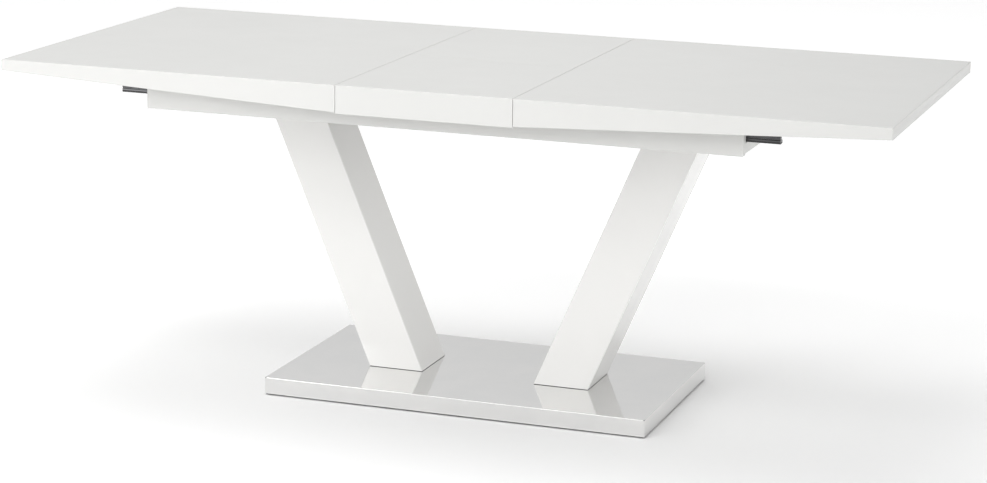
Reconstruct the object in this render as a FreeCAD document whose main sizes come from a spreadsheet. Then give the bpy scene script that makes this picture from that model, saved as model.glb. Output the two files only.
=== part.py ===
"""Extendable dining table on two leaning posts.

The top is two halves and a folding centre leaf. Each half rides on a pair of
rails that slide in channels inside the frame, and a pinion with two racks
makes the halves move together. The frame stands on two sheared box posts that
are bolted to a steel-covered base plate.

Millimetres. +X runs along the table, +Y to its rear long side, +Z up. The
origin is on the floor under the middle of the table. The table is modelled
extended, with the leaf in place.
"""

import FreeCAD, Part

import math
import os

import Sketcher
from FreeCAD import Placement, Rotation, Vector

# ---------------------------------------------------------------- dimensions

DIMENSIONS = {
    # table top
    "table_height": 765,
    "table_width": 900,
    "open_length": 2000,
    "leaf_length": 400,
    "seam_gap": 0.4,
    "panel_thickness": 25,
    "panel_edge_round": 1.5,
    "band_width": 20,
    "band_drop_inner": 35,
    "band_drop_outer": 0.5,
    "leaf_band_drop": 37,
    # frame under the top
    "frame_length": 1356,
    "frame_width": 756,
    "frame_bottom": 667,
    "side_board_thickness": 20,
    "side_board_height": 72.6,
    "end_board_thickness": 18,
    "end_board_height": 22.5,
    "end_board_inset": 4,
    "cross_board_width": 200,
    "cross_board_thickness": 22,
    "sync_board_width": 90,
    "board_fit_gap": 0.2,
    "rest_block_length": 60,
    "rest_block_width": 40,
    "rest_block_offset": 70,
    "dowel_radius": 4,
    "dowel_in_side": 12,
    "dowel_in_end": 26,
    "dowel_spread": 60,
    "sync_dowel_spread": 25,
    # slides
    "channel_length": 1350,
    "channel_bottom": 692,
    "channel_web": 2.5,
    "channel_depth": 24,
    "channel_height": 40,
    "channel_lip_height": 14,
    "channel_hook": 9,
    "rail_length": 500,
    "rail_end": 750,
    "rail_gap": 0.5,
    "rail_foot_depth": 17.8,
    "rail_web_depth": 11,
    "rail_flange_depth": 36,
    "rail_bottom": 699,
    "rail_foot_height": 3.8,
    "rail_flange_thickness": 3,
    "groove_depth": 1.4,
    "groove_height": 3.2,
    "groove_pitch": 8,
    "strip_height": 4.1,
    "screw_radius": 2,
    "screw_head_radius": 4,
    "screw_head_height": 1.5,
    "screw_length": 14,
    "rail_screw_head": 2.4,
    "channel_screw_pitch": 300,
    "channel_screw_count": 5,
    "rail_screw_pitch": 190,
    "rail_screw_inset": 60,
    "rail_screw_edge": 11,
    # rack and pinion
    "gear_module": 2,
    "gear_teeth": 20,
    "gear_backlash": 0.5,
    "gear_height": 10,
    "gear_bottom": 698,
    "rack_back": 9.5,
    "rack_tooth_count": 40,
    "rack_foot_length": 55,
    "rack_foot_end": 300,
    "rack_foot_width": 20,
    "axle_radius": 4,
    "axle_head_radius": 8,
    "axle_head_height": 3,
    "hub_radius": 8,
    "housing_length": 80,
    "housing_wall": 3.4,
    "housing_floor": 3,
    "housing_height": 20,
    # posts
    "base_top": 42,
    "post_top": 662,
    "post_foot_x": 200,
    "post_lean": 0.42,
    "post_length": 130,
    "post_width": 152,
    "post_wall": 18,
    "post_edge_round": 2.5,
    "gasket_thickness": 1,
    "gasket_inset": 1,
    "block_height": 60,
    "block_gap": 0.2,
    "bolt_radius": 4,
    "bolt_hole_radius": 4.5,
    "bolt_hex_radius": 7.5,
    "bolt_head_height": 5.3,
    "bolt_grip": 40,
    "bolt_near": 18,
    "bolt_far": 30,
    "bolt_side": 35,
    "head_plate_length": 180,
    "head_plate_width": 180,
    "head_plate_thickness": 5,
    # base
    "base_length": 900,
    "base_width": 510,
    "cover_sheet": 1.5,
    "cover_bottom": 3.5,
    "cover_round": 2,
    "core_bottom": 2,
    "core_gap": 0.5,
    "counterbore_radius": 10,
    "counterbore_depth": 8,
    "glide_radius": 16,
    "glide_inset": 40,
    # leaf hinges
    "hinge_spacing": 130,
    "barrel_radius": 7,
    "barrel_length": 14,
    "barrel_axis_depth": 12.5,
    "link_width": 2.4,
    "link_height": 8,
    "link_reach": 6,
    "link_slot_depth": 9,
    "swing_slot_height": 11.5,
}


class Size:
    """A length that carries its number and the sheet expression behind it."""

    def __init__(self, value, text):
        self.value = float(value)
        self.text = text

    def combine(self, other, value, sign):
        return Size(value, f"({self.text} {sign} {other.text})")

    def __add__(self, other):
        other = as_size(other)
        return self.combine(other, self.value + other.value, "+")

    def __sub__(self, other):
        other = as_size(other)
        return self.combine(other, self.value - other.value, "-")

    def __mul__(self, other):
        other = as_size(other)
        return self.combine(other, self.value * other.value, "*")

    def __truediv__(self, other):
        other = as_size(other)
        return self.combine(other, self.value / other.value, "/")

    def __radd__(self, other):
        return as_size(other) + self

    def __rsub__(self, other):
        return as_size(other) - self

    def __rmul__(self, other):
        return as_size(other) * self

    def __neg__(self):
        return as_size(0) - self


def as_size(number):
    """Wrap a plain number so that it can stand in an expression."""
    if isinstance(number, Size):
        return number
    return Size(number, f"{number:.9g}" if number >= 0 else f"(0 - {-number:.9g})")


def make_sheet(doc):
    """Write the driving dimensions into the sheet and return them by name."""
    sheet = doc.addObject("Spreadsheet::Sheet", "dimensions")
    sizes = {}
    for row, (alias, value) in enumerate(DIMENSIONS.items(), start=1):
        sheet.set(f"A{row}", alias)
        sheet.set(f"B{row}", f"{value}")
        sheet.setAlias(f"B{row}", alias)
        sizes[alias] = Size(value, f"dimensions.{alias}")
    doc.recompute()
    return sizes


doc = FreeCAD.newDocument("dining_table")
D = make_sheet(doc)
nodes = []

# --------------------------------------------------------- derived positions

HALF_FRAME_WIDTH = D["frame_width"] / 2
SIDE_INNER = HALF_FRAME_WIDTH - D["side_board_thickness"]
PANEL_BOTTOM = D["table_height"] - D["panel_thickness"]
HALF_LEAF = D["leaf_length"] / 2
HALF_GAP = D["seam_gap"] / 2
HALF_TOP_LENGTH = D["open_length"] / 2 - HALF_LEAF - HALF_GAP
CROSS_LENGTH = 2 * (SIDE_INNER - D["board_fit_gap"])
DOWEL_HEIGHT = D["cross_board_thickness"] / 2
POST_BOTTOM = D["base_top"] + D["gasket_thickness"]
POST_HEIGHT = D["post_top"] - POST_BOTTOM
POST_HEAD_X = D["post_foot_x"] + POST_HEIGHT * D["post_lean"]
END_BOARD_X = D["frame_length"] / 2 - D["end_board_inset"] - D["end_board_thickness"] / 2
PITCH_RADIUS = D["gear_module"] * D["gear_teeth"] / 2
RACK_FACE = PITCH_RADIUS + 1.25 * D["gear_module"]
RAIL_SCREW_DEPTH = D["channel_web"] + D["rail_gap"] + D["rail_flange_depth"] - D["rail_screw_edge"]
HINGE_PLACES = (-1, 0, 1)

TURNED = Rotation(Vector(0, 0, 1), 180)
STRAIGHT = Rotation()

# ------------------------------------------------------------ drawing helpers


def bind(obj, prop, size):
    """Set a property from the sheet."""
    obj.setExpression(prop, as_size(size).text)


def place(obj, x=0, y=0, z=0, rotation=STRAIGHT):
    """Put an object at a position that follows the sheet."""
    x, y, z = as_size(x), as_size(y), as_size(z)
    obj.Placement = Placement(Vector(x.value, y.value, z.value), rotation)
    for axis, size in zip("xyz", (x, y, z)):
        bind(obj, f"Placement.Base.{axis}", size)


def new_body(label):
    """Start a piece."""
    body = doc.addObject("PartDesign::Body", label)
    body.Label = label
    nodes.append(body)
    return body


def new_sketch(body, role, offset=None):
    """Add an empty sketch on one of the body's own origin planes."""
    sketch = body.newObject("Sketcher::SketchObject", f"{body.Name}_sketch")
    plane = next(o for o in body.Origin.OriginFeatures if o.Role == role)
    sketch.AttachmentSupport = [(plane, "")]
    sketch.MapMode = "FlatFace"
    if offset is not None:
        sketch.AttachmentOffset = Placement(Vector(0, 0, as_size(offset).value), STRAIGHT)
        bind(sketch, "AttachmentOffset.Base.z", offset)
    return sketch


def pin_coordinate(sketch, kind, geometry, point, size):
    """Tie one coordinate of a point to the sketch origin."""
    size = as_size(size)
    index = sketch.addConstraint(
        Sketcher.Constraint(kind, -1, 1, geometry, point, size.value))
    name = f"{kind[-1].lower()}_{geometry}"
    sketch.renameConstraint(index, name)
    bind(sketch, f"Constraints.{name}", size)


def draw_polygon(sketch, points):
    """Add a closed outline whose corners follow the sheet."""
    points = [(as_size(x), as_size(y)) for x, y in points]
    first = sketch.GeometryCount
    count = len(points)
    for i, (x, y) in enumerate(points):
        next_x, next_y = points[(i + 1) % count]
        start = Vector(x.value, y.value, 0)
        sketch.addGeometry(Part.LineSegment(start, Vector(next_x.value, next_y.value, 0)), False)
    for i in range(count):
        sketch.addConstraint(Sketcher.Constraint(
            "Coincident", first + i, 2, first + (i + 1) % count, 1))
    for i, (x, y) in enumerate(points):
        pin_coordinate(sketch, "DistanceX", first + i, 1, x)
        pin_coordinate(sketch, "DistanceY", first + i, 1, y)


def draw_rectangle(sketch, x0, x1, y0, y1):
    """Add a rectangle between two corners."""
    draw_polygon(sketch, [(x0, y0), (x1, y0), (x1, y1), (x0, y1)])


def draw_centred(sketch, length, width):
    """Add a rectangle centred on the sketch origin."""
    draw_rectangle(sketch, -(length / 2), length / 2, -(width / 2), width / 2)


def draw_circle(sketch, x, y, radius):
    """Add a circle whose centre and radius follow the sheet."""
    x, y, radius = as_size(x), as_size(y), as_size(radius)
    circle = Part.Circle(Vector(x.value, y.value, 0), Vector(0, 0, 1), radius.value)
    index = sketch.addGeometry(circle, False)
    pin_coordinate(sketch, "DistanceX", index, 3, x)
    pin_coordinate(sketch, "DistanceY", index, 3, y)
    constraint = sketch.addConstraint(Sketcher.Constraint("Radius", index, radius.value))
    sketch.renameConstraint(constraint, f"radius_{index}")
    bind(sketch, f"Constraints.radius_{index}", radius)


def pad(body, sketch, length, side="One side", lean=None):
    """Raise a sketch into a solid, upright or along a leaning direction."""
    feature = body.newObject("PartDesign::Pad", f"{body.Name}_pad")
    feature.Profile = sketch
    feature.SideType = side
    bind(feature, "Length", length)
    if lean is not None:
        feature.UseCustomVector = True
        feature.AlongSketchNormal = True
        feature.Direction = Vector(lean.value, 0, 1)
        bind(feature, "Direction.x", lean)
    sketch.Visibility = False
    return feature


def pocket(body, sketch, depth=None, towards_normal=True):
    """Cut a sketch into the solid, and stop if it took nothing away."""
    doc.recompute()
    before = body.Shape.Volume
    feature = body.newObject("PartDesign::Pocket", f"{body.Name}_pocket")
    feature.Profile = sketch
    feature.Reversed = towards_normal
    if depth is None:
        feature.Type = "ThroughAll"
        feature.SideType = "Symmetric"
    else:
        bind(feature, "Length", depth)
    doc.recompute()
    if body.Shape.Volume > before - 1e-3:
        raise RuntimeError(f"{body.Label}: a pocket cut nothing")
    return feature


def round_edges(body, feature, radius, wanted):
    """Fillet the edges of a feature that a test picks."""
    doc.recompute()
    names = [f"Edge{i}" for i, edge in enumerate(feature.Shape.Edges, start=1) if wanted(edge)]
    if not names:
        raise RuntimeError(f"{body.Label}: no edge to round")
    fillet = body.newObject("PartDesign::Fillet", f"{body.Name}_round")
    fillet.Base = (feature, names)
    bind(fillet, "Radius", radius)


def at_height(height):
    """Test for edges that lie level at a height."""
    def test(edge):
        box = edge.BoundBox
        return abs(box.ZMin - height) < 1e-3 and abs(box.ZMax - height) < 1e-3
    return test


def primitive(kind, name, **sizes):
    """Add a Part primitive with its sizes bound to the sheet."""
    shape = doc.addObject(f"Part::{kind}", name)
    for prop, size in sizes.items():
        bind(shape, prop, size)
    return shape


def compound(label, pieces):
    """Gather identical fasteners into one piece list."""
    group = doc.addObject("Part::Compound", label)
    group.Label = label
    group.Links = pieces
    nodes.append(group)
    return group


def screw(name, head_radius, head_height, shank_radius, shank_length):
    """A cylinder-headed screw: head above the origin plane, shank below it."""
    head = primitive("Cylinder", f"{name}_head", Radius=head_radius, Height=head_height)
    shank = primitive("Cylinder", f"{name}_shank", Radius=shank_radius, Height=shank_length)
    place(shank, z=-shank_length)
    joined = doc.addObject("Part::Fuse", name)
    joined.Base = head
    joined.Tool = shank
    return joined


def hex_bolt(name, shank_length):
    """A hexagon-headed bolt: head above the origin plane, shank below it."""
    head = primitive("Prism", f"{name}_head",
                     Circumradius=D["bolt_hex_radius"], Height=D["bolt_head_height"])
    shank = primitive("Cylinder", f"{name}_shank", Radius=D["bolt_radius"], Height=shank_length)
    place(shank, z=-shank_length)
    joined = doc.addObject("Part::Fuse", name)
    joined.Base = head
    joined.Tool = shank
    return joined


# ----------------------------------------------------------------------- base


def bolt_offsets(side, near, far):
    """Bolt positions about a post's centre line, as (x, y) pairs."""
    return [(side * x, y_sign * D["bolt_side"])
            for x in (near, far) for y_sign in (-1, 1)]


def foot_bolt_offsets(side):
    """Bolt positions about the centre of a post's foot."""
    return bolt_offsets(side, -D["bolt_near"], D["bolt_far"])


def foot_bolt_points():
    """The bolts that hold both posts down, in table coordinates."""
    return [(side * D["post_foot_x"] + x, y)
            for side in (-1, 1) for x, y in foot_bolt_offsets(side)]


def base_cover():
    """Folded stainless tray, open below, that wraps the base core."""
    body = new_body("base_cover")
    outline = new_sketch(body, "XY_Plane")
    draw_centred(outline, D["base_length"], D["base_width"])
    pad(body, outline, D["base_top"] - D["cover_bottom"])
    inside = new_sketch(body, "XY_Plane")
    sheet = 2 * D["cover_sheet"]
    draw_centred(inside, D["base_length"] - sheet, D["base_width"] - sheet)
    pocket(body, inside, D["base_top"] - D["cover_bottom"] - D["cover_sheet"])
    holes = new_sketch(body, "XY_Plane")
    for x, y in foot_bolt_points():
        draw_circle(holes, x, y, D["bolt_hole_radius"])
    hollow = pocket(body, holes)
    top = (D["base_top"] - D["cover_bottom"]).value
    reach = (D["base_width"] / 2).value - 1
    half_length = (D["base_length"] / 2).value - 1

    def outer_rim(edge):
        if not at_height(top)(edge):
            return False
        box = edge.BoundBox
        return max(abs(box.XMin), abs(box.XMax)) > half_length or max(
            abs(box.YMin), abs(box.YMax)) > reach

    round_edges(body, hollow, D["cover_round"], outer_rim)
    place(body, z=D["cover_bottom"])


def base_core():
    """Board slab inside the cover, counterbored from below for the bolts."""
    body = new_body("base_core")
    outline = new_sketch(body, "XY_Plane")
    margin = 2 * (D["cover_sheet"] + D["core_gap"])
    draw_centred(outline, D["base_length"] - margin, D["base_width"] - margin)
    for x, y in foot_bolt_points():
        draw_circle(outline, x, y, D["bolt_hole_radius"])
    pad(body, outline, D["base_top"] - D["cover_sheet"] - D["core_bottom"])
    recess = new_sketch(body, "XY_Plane")
    for x, y in foot_bolt_points():
        draw_circle(recess, x, y, D["counterbore_radius"])
    pocket(body, recess, D["counterbore_depth"])
    place(body, z=D["core_bottom"])


def base_glides():
    """Six low pads under the core that keep the cover off the floor."""
    pads = []
    half_x = D["base_length"] / 2 - D["glide_inset"]
    half_y = D["base_width"] / 2 - D["glide_inset"]
    for i in (-1, 0, 1):
        for j in (-1, 1):
            glide = primitive("Cone", "glide", Radius1=D["glide_radius"] - 1,
                              Radius2=D["glide_radius"], Height=D["core_bottom"])
            place(glide, i * half_x, j * half_y)
            pads.append(glide)
    compound("base_glides", pads)


def base_bolts():
    """Bolts that come up through the base into the foot blocks."""
    seat = D["core_bottom"] + D["counterbore_depth"]
    length = POST_BOTTOM - seat + D["bolt_grip"]
    bolts = []
    for x, y in foot_bolt_points():
        bolt = hex_bolt("foot_bolt", length)
        place(bolt, x, y, seat, Rotation(Vector(1, 0, 0), 180))
        bolts.append(bolt)
    compound("base_bolts", bolts)


# ---------------------------------------------------------------------- posts


def slanted(edge):
    """Test for the four outer long edges of a sheared post."""
    box = edge.BoundBox
    outer = max(abs(box.YMin), abs(box.YMax)) > (D["post_width"] / 2).value - 1
    return outer and box.ZLength > 10


def post(name, side):
    """Hollow box post, sheared so that both ends are level."""
    body = new_body(f"post_{name}")
    section = new_sketch(body, "XY_Plane")
    draw_centred(section, D["post_length"], D["post_width"])
    draw_centred(section, D["post_length"] - 2 * D["post_wall"],
                 D["post_width"] - 2 * D["post_wall"])
    column = pad(body, section, POST_HEIGHT, lean=side * D["post_lean"])
    round_edges(body, column, D["post_edge_round"], slanted)
    place(body, x=side * D["post_foot_x"], z=POST_BOTTOM)


def post_gasket(name, side):
    """Thin dark gasket that keeps the lacquered post off the steel cover."""
    body = new_body(f"post_gasket_{name}")
    outline = new_sketch(body, "XY_Plane")
    inset = 2 * D["gasket_inset"]
    draw_centred(outline, D["post_length"] - inset, D["post_width"] - inset)
    for x, y in foot_bolt_offsets(side):
        draw_circle(outline, x, y, D["bolt_hole_radius"])
    pad(body, outline, D["gasket_thickness"])
    place(body, x=side * D["post_foot_x"], z=D["base_top"])


def post_block(label, side, x, z, near, far):
    """Solid block glued inside a post end, drilled for the bolts."""
    body = new_body(label)
    section = new_sketch(body, "XY_Plane")
    fit = 2 * (D["post_wall"] + D["block_gap"])
    draw_centred(section, D["post_length"] - fit, D["post_width"] - fit)
    pad(body, section, D["block_height"], lean=side * D["post_lean"])
    holes = new_sketch(body, "XY_Plane")
    for offset_x, offset_y in bolt_offsets(side, near, far):
        draw_circle(holes, offset_x, offset_y, D["bolt_radius"])
    pocket(body, holes)
    place(body, x=x, z=z)


def post_blocks(name, side):
    """The foot block and the head block of one post."""
    post_block(f"post_foot_block_{name}", side, side * D["post_foot_x"], POST_BOTTOM,
               -D["bolt_near"], D["bolt_far"])
    run = D["block_height"] * D["post_lean"]
    head_x = POST_HEAD_X - run
    post_block(f"post_head_block_{name}", side, side * head_x,
               D["post_top"] - D["block_height"],
               run - D["bolt_far"], run + D["bolt_near"])


def head_bolt_offsets(side):
    """Bolt positions about the centre of a post's head."""
    return bolt_offsets(side, -D["bolt_far"], D["bolt_near"])


def head_plate(name, side):
    """Steel plate between a post and the cross board it carries."""
    body = new_body(f"head_plate_{name}")
    outline = new_sketch(body, "XY_Plane")
    draw_centred(outline, D["head_plate_length"], D["head_plate_width"])
    for x, y in head_bolt_offsets(side):
        draw_circle(outline, x, y, D["bolt_hole_radius"])
    pad(body, outline, D["head_plate_thickness"])
    place(body, x=side * POST_HEAD_X, z=D["post_top"])


def head_bolts():
    """Bolts that go down through the cross boards into the head blocks."""
    seat = D["frame_bottom"] + D["cross_board_thickness"]
    length = seat - D["post_top"] + D["bolt_grip"]
    bolts = []
    for side in (-1, 1):
        for x, y in head_bolt_offsets(side):
            bolt = hex_bolt("head_bolt", length)
            place(bolt, side * POST_HEAD_X + x, y, seat)
            bolts.append(bolt)
    compound("head_bolts", bolts)


# ---------------------------------------------------------------------- frame


def cross_members():
    """Every board that spans the frame: name, x, width, height, dowel offsets."""
    spread = D["dowel_spread"]
    sync_spread = D["sync_dowel_spread"]
    thick = D["cross_board_thickness"]
    return [
        ("end_board_left", -END_BOARD_X, D["end_board_thickness"], D["end_board_height"], [0]),
        ("end_board_right", END_BOARD_X, D["end_board_thickness"], D["end_board_height"], [0]),
        ("cross_board_left", -POST_HEAD_X, D["cross_board_width"], thick, [-spread, spread]),
        ("cross_board_right", POST_HEAD_X, D["cross_board_width"], thick, [-spread, spread]),
        ("sync_board", 0, D["sync_board_width"], thick, [-sync_spread, sync_spread]),
    ]


def dowel_points():
    """Dowel positions along the side boards."""
    return [x + offset for _, x, _, _, offsets in cross_members() for offset in offsets]


def cross_board(label, x, width, height, offsets, drill):
    """Board across the frame with dowel holes in both ends."""
    body = new_body(label)
    section = new_sketch(body, "XZ_Plane")
    draw_rectangle(section, -(width / 2), width / 2, 0, height)
    pad(body, section, CROSS_LENGTH, side="Symmetric")
    for end, inward in ((CROSS_LENGTH / 2, False), (-(CROSS_LENGTH / 2), True)):
        holes = new_sketch(body, "XZ_Plane", offset=end)
        for offset in offsets:
            draw_circle(holes, offset, DOWEL_HEIGHT, D["dowel_radius"])
        pocket(body, holes, D["dowel_in_end"] + 1, towards_normal=inward)
    if drill:
        holes = new_sketch(body, "XY_Plane")
        for hole_x, hole_y, radius in drill:
            draw_circle(holes, hole_x, hole_y, radius)
        pocket(body, holes)
    place(body, x=x, z=D["frame_bottom"])


def cross_boards():
    """All the boards that span the frame."""
    for label, x, width, height, offsets in cross_members():
        drill = []
        if label.startswith("cross_board"):
            side = -1 if label.endswith("left") else 1
            drill = [(bx, by, D["bolt_hole_radius"]) for bx, by in head_bolt_offsets(side)]
        if label == "sync_board":
            drill = [(0, 0, D["axle_radius"])]
        cross_board(label, x, width, height, offsets, drill)


def channel_screw_points():
    """Screw positions along a channel."""
    middle = (DIMENSIONS["channel_screw_count"] - 1) / 2
    return [(i - middle) * D["channel_screw_pitch"]
            for i in range(DIMENSIONS["channel_screw_count"])]


def screw_height():
    """Height of the channel screws above the floor."""
    return D["channel_bottom"] + 0.7 * D["channel_height"]


def side_board(label, rear):
    """Long frame board with dowel holes and screw pilots in its inner face."""
    body = new_body(label)
    outline = new_sketch(body, "XZ_Plane")
    half = D["frame_length"] / 2
    draw_rectangle(outline, -half, half, 0, D["side_board_height"])
    pad(body, outline, D["side_board_thickness"], side="Symmetric")
    inner = -(D["side_board_thickness"] / 2)
    dowels = new_sketch(body, "XZ_Plane", offset=inner)
    for x in dowel_points():
        draw_circle(dowels, x, DOWEL_HEIGHT, D["dowel_radius"])
    pocket(body, dowels, D["dowel_in_side"] + 1)
    pilots = new_sketch(body, "XZ_Plane", offset=inner)
    for x in channel_screw_points():
        draw_circle(pilots, x, screw_height() - D["frame_bottom"], D["screw_radius"])
    pocket(body, pilots, D["screw_length"])
    y = HALF_FRAME_WIDTH - D["side_board_thickness"] / 2
    if rear:
        place(body, y=y, z=D["frame_bottom"], rotation=TURNED)
    else:
        place(body, y=-y, z=D["frame_bottom"])


def frame_dowels():
    """Wooden dowels that join the cross members to the side boards."""
    length = D["dowel_in_side"] + D["dowel_in_end"]
    dowels = []
    for x in dowel_points():
        for side in (-1, 1):
            dowel = primitive("Cylinder", "dowel", Radius=D["dowel_radius"], Height=length)
            start = side * (SIDE_INNER + D["dowel_in_side"])
            place(dowel, x, start, D["frame_bottom"] + DOWEL_HEIGHT,
                  Rotation(Vector(1, 0, 0), 90 * side))
            dowels.append(dowel)
    compound("frame_dowels", dowels)


def leaf_rest_block(label, side):
    """Block on the middle board that carries the leaf beside its seam."""
    body = new_body(label)
    outline = new_sketch(body, "XY_Plane")
    draw_centred(outline, D["rest_block_length"], D["rest_block_width"])
    bottom = D["frame_bottom"] + D["cross_board_thickness"]
    pad(body, outline, D["frame_bottom"] + D["side_board_height"] - bottom)
    place(body, y=side * D["rest_block_offset"], z=bottom)


# --------------------------------------------------------------------- slides


def slide_channel(label, rear):
    """Fixed channel on a side board: web, floor, lip and a hook over the foot."""
    body = new_body(label)
    section = new_sketch(body, "YZ_Plane")
    web = D["channel_web"]
    depth = D["channel_depth"]
    lip = D["channel_lip_height"]
    draw_polygon(section, [
        (0, 0), (depth, 0), (depth, lip), (depth - D["channel_hook"], lip),
        (depth - D["channel_hook"], lip - web), (depth - web, lip - web),
        (depth - web, web), (web, web), (web, D["channel_height"]), (0, D["channel_height"]),
    ])
    pad(body, section, D["channel_length"], side="Symmetric")
    height = screw_height() - D["channel_bottom"]
    holes = new_sketch(body, "XZ_Plane")
    for x in channel_screw_points():
        draw_circle(holes, x, height, D["screw_radius"])
    pocket(body, holes, web, towards_normal=False)
    seats = new_sketch(body, "XZ_Plane", offset=-web)
    for x in channel_screw_points():
        draw_circle(seats, x, height, D["screw_head_radius"])
    pocket(body, seats, D["screw_head_height"])
    if rear:
        place(body, y=SIDE_INNER, z=D["channel_bottom"], rotation=TURNED)
    else:
        place(body, y=-SIDE_INNER, z=D["channel_bottom"])


def channel_screws():
    """Flush screws that hold the channels to the side boards."""
    depth = D["channel_web"] - D["screw_head_height"]
    screws = []
    for side in (-1, 1):
        for x in channel_screw_points():
            item = screw("channel_screw", D["screw_head_radius"], D["screw_head_height"],
                         D["screw_radius"], D["screw_length"] + depth - 0.5)
            place(item, x, side * (SIDE_INNER - depth), screw_height(),
                  Rotation(Vector(1, 0, 0), 90 * side))
            screws.append(item)
    compound("channel_screws", screws)


def rail_section():
    """Moving rail: foot under the hook, grooved web and a flange under the top."""
    back = D["channel_web"] + D["rail_gap"]
    foot = back + D["rail_foot_depth"]
    web = back + D["rail_web_depth"]
    flange = back + D["rail_flange_depth"]
    bottom = as_size(0)
    top = PANEL_BOTTOM - D["rail_bottom"]
    points = [
        (back, bottom), (foot, bottom), (foot, D["rail_foot_height"]),
        (web, D["rail_foot_height"]), (web, top - D["rail_flange_thickness"]),
        (flange, top - D["rail_flange_thickness"]), (flange, top), (back, top),
    ]
    for i in (3, 2, 1, 0):
        low = D["rail_foot_height"] + i * D["groove_pitch"]
        high = low + D["groove_height"]
        inner = back + D["groove_depth"]
        points += [(back, high), (inner, high), (inner, low), (back, low)]
    return points


def half_rail_screws():
    """Screw positions along one rail, measured from its low-x end."""
    return [D["rail_screw_inset"] + i * D["rail_screw_pitch"] for i in range(3)]


def put_rail(body, side, rear, z):
    """Place a rail or strip at its slide: the rear ones are turned end for end."""
    outer = D["rail_end"] - D["rail_length"]
    if rear:
        start = D["rail_end"] if side > 0 else -outer
        place(body, start, SIDE_INNER, z, TURNED)
    else:
        start = outer if side > 0 else -D["rail_end"]
        place(body, start, -SIDE_INNER, z)


def rail(label, side, rear):
    """One moving rail, screwed to the underside of a half."""
    body = new_body(label)
    section = new_sketch(body, "YZ_Plane")
    draw_polygon(section, rail_section())
    pad(body, section, D["rail_length"])
    holes = new_sketch(body, "XY_Plane")
    for x in half_rail_screws():
        draw_circle(holes, x, RAIL_SCREW_DEPTH, D["screw_radius"])
    pocket(body, holes)
    put_rail(body, side, rear, D["rail_bottom"])


def glide_strip(label, side, rear):
    """Plastic strip clipped under a rail, which runs on the channel floor."""
    body = new_body(label)
    section = new_sketch(body, "YZ_Plane")
    back = D["channel_web"] + D["rail_gap"]
    nose = 1
    foot = back + D["rail_foot_depth"]
    low = -D["strip_height"]
    draw_polygon(section, [
        (back, 0), (back, low + nose), (back + nose, low), (foot - nose, low),
        (foot, low + nose), (foot, 0),
    ])
    pad(body, section, D["rail_length"])
    put_rail(body, side, rear, D["rail_bottom"])


def rail_screw_positions(side):
    """Screws of one half in table coordinates, as (x, y) pairs."""
    points = []
    for rear in (False, True):
        for along in half_rail_screws():
            from_end = D["rail_end"] - along if rear == (side > 0) else (
                D["rail_end"] - D["rail_length"] + along)
            depth = SIDE_INNER - RAIL_SCREW_DEPTH
            points.append((side * from_end, depth if rear else -depth))
    return points


def rail_screws(name, side):
    """Screws that go up through the rail flanges into the panel."""
    screws = []
    for x, y in rail_screw_positions(side):
        item = screw("rail_screw", D["screw_head_radius"], D["rail_screw_head"],
                     D["screw_radius"], D["screw_length"])
        place(item, x, y, PANEL_BOTTOM - D["rail_flange_thickness"],
              Rotation(Vector(1, 0, 0), 180))
        screws.append(item)
    compound(f"rail_screws_{name}", screws)


# ------------------------------------------------------------ rack and pinion


def sync_housing():
    """Guide that keeps both racks in mesh, screwed to the middle board."""
    body = new_body("sync_housing")
    section = new_sketch(body, "YZ_Plane")
    inner = RACK_FACE + D["rack_back"] + 0.6
    outer = inner + D["housing_wall"]
    floor = D["housing_floor"]
    draw_polygon(section, [
        (-outer, 0), (outer, 0), (outer, D["housing_height"]), (inner, D["housing_height"]),
        (inner, floor), (-inner, floor), (-inner, D["housing_height"]),
        (-outer, D["housing_height"]),
    ])
    pad(body, section, D["housing_length"], side="Symmetric")
    hole = new_sketch(body, "XY_Plane")
    draw_circle(hole, 0, 0, D["axle_radius"])
    pocket(body, hole)
    place(body, z=D["frame_bottom"] + D["cross_board_thickness"])


def pinion_axle():
    """Shouldered pin that the pinion turns on."""
    bottom = D["frame_bottom"] + 4
    top = D["gear_bottom"] + D["gear_height"] + 1
    item = screw("pinion_axle", D["axle_head_radius"], D["axle_head_height"],
                 D["axle_radius"], top - bottom)
    item.Label = "pinion_axle"
    place(item, z=top)
    nodes.append(item)


def involute(angle):
    """The involute of an angle in radians."""
    return math.tan(angle) - angle


def pinion_outline():
    """Corner points of the pinion, tooth by tooth, from the gear sizes."""
    module = D["gear_module"].value
    teeth = DIMENSIONS["gear_teeth"]
    pressure = math.radians(20)
    pitch = PITCH_RADIUS.value
    base = pitch * math.cos(pressure)
    tooth_angle = (math.pi * module / 2 - D["gear_backlash"].value / 2) / pitch / 2
    radii = [pitch - 1.2 * module] + [base + (pitch + 0.95 * module - base) * i / 5
                                      for i in range(6)]
    half_angles = []
    for radius in radii:
        slope = math.acos(min(1, base / radius))
        half_angles.append(tooth_angle + involute(pressure) - involute(slope))
    points = []
    for tooth in range(teeth):
        middle = 2 * math.pi * tooth / teeth
        flank = [(r, middle - a) for r, a in zip(radii, half_angles)]
        other = [(r, middle + a) for r, a in reversed(list(zip(radii, half_angles)))]
        points += [Vector(r * math.cos(a), r * math.sin(a), 0) for r, a in flank + other]
    return points


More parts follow.
